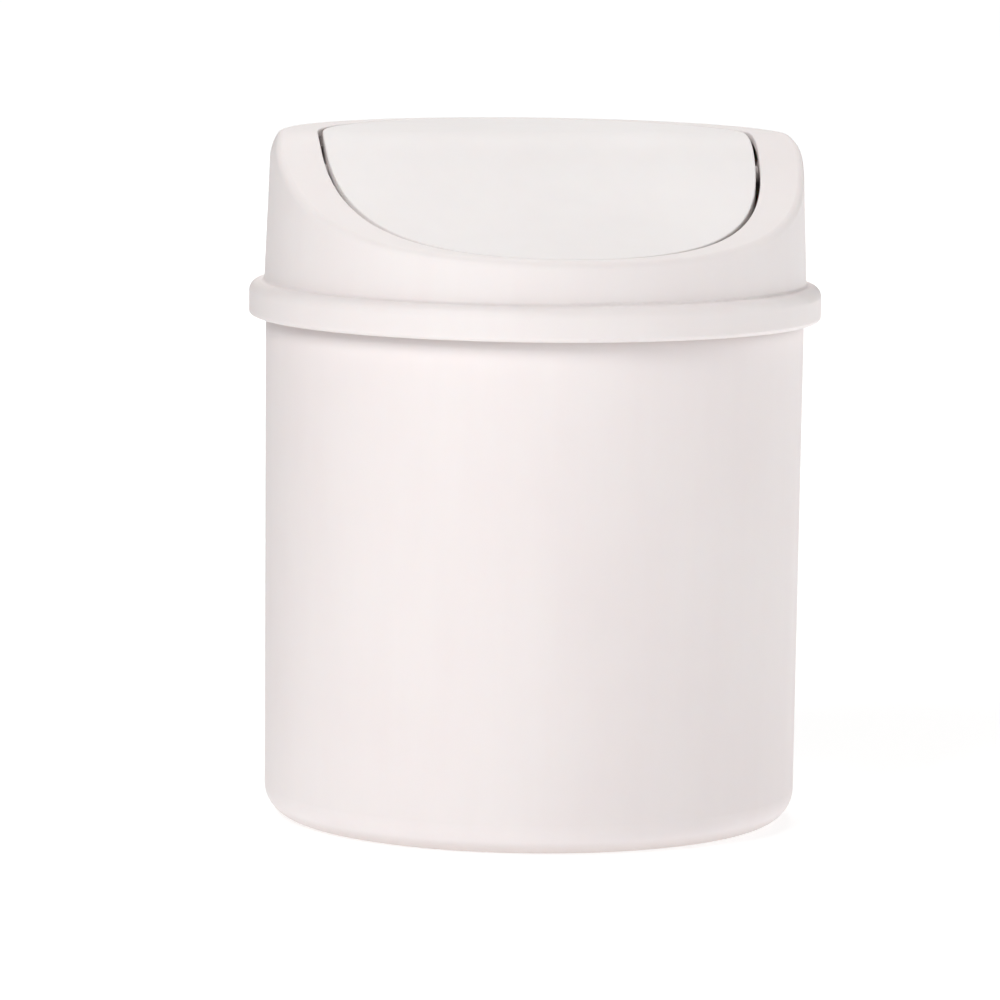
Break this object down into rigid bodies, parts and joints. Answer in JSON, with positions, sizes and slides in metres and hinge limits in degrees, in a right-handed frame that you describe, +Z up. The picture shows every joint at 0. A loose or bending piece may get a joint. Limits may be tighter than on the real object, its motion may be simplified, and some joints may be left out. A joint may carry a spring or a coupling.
{
  "type": "countertop trash can with swing lid",
  "caption": "Small round countertop bin: a tapered bucket, a lift-off lid frame with a scooped top, and a push flap that swings inwards and closes under its own weight.",
  "frame": {"origin": "centre of the base, on the plane it stands on", "axes": "+Z up; -Y is the front, the low side of the lid where the flap is pushed; the flap turns about an axis along X"},
  "size_m": [0.1374, 0.1374, 0.165],
  "materials": {
    "bucket_plastic": "moulded, satin",
    "lid_plastic": "moulded, satin",
    "flap_plastic": "moulded, satin"
  },
  "bodies": {
    "bucket": {"bucket": "bucket_plastic"},
    "lid_frame": {"lid_frame": "lid_plastic"},
    "swing_flap": {"swing_flap": "flap_plastic"}
  },
  "joints": [
    {"name": "lid_lift", "type": "slide", "parent": "bucket", "child": "lid_frame", "axis": [0, 0, 1], "range_m": [0, 0.06]},
    {"name": "flap_swing", "type": "hinge", "parent": "lid_frame", "child": "swing_flap", "pos_m": [0, -0.006, 0.1555], "axis": [1, 0, 0], "range_deg": [0, 70]}
  ]
}
